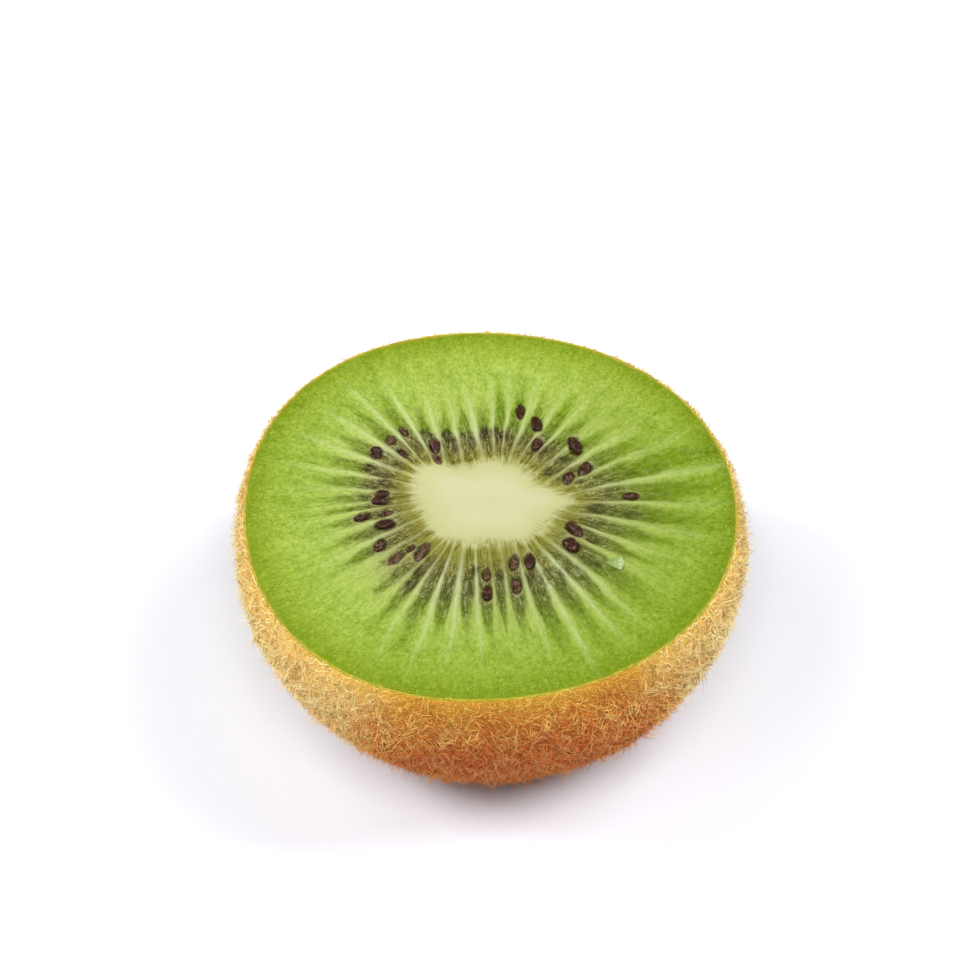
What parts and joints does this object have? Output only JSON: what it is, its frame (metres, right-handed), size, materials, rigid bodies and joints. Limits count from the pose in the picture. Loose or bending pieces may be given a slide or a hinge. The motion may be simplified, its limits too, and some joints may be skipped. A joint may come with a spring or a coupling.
{
  "type": "kiwi fruit half",
  "caption": "Half of a brown, fuzzy kiwi fruit, cut across its middle: green flesh, pale core, and a ring of dark seeds. It rests on its blunt end, cut face up.",
  "frame": {"origin": "on the flat spot under the blunt end that the half rests on, below the middle of the bounding box", "axes": "+Z along the fruit's axis, from the blunt end to the cut face; +Y away from the side that the picture shows; +X to the right in the picture"},
  "size_m": [0.054, 0.0542, 0.0282],
  "materials": {
    "flesh": "wet, juicy green flesh with pale rays, glossy",
    "core": "moist, pale cream-green, soft sheen",
    "skin": "dry brown skin, matt",
    "fuzz": "short golden-brown hairs, matt",
    "seed": "wet, purple-black, glossy"
  },
  "bodies": {
    "root": {"flesh": "flesh", "core": "core"}
  },
  "joints": []
}
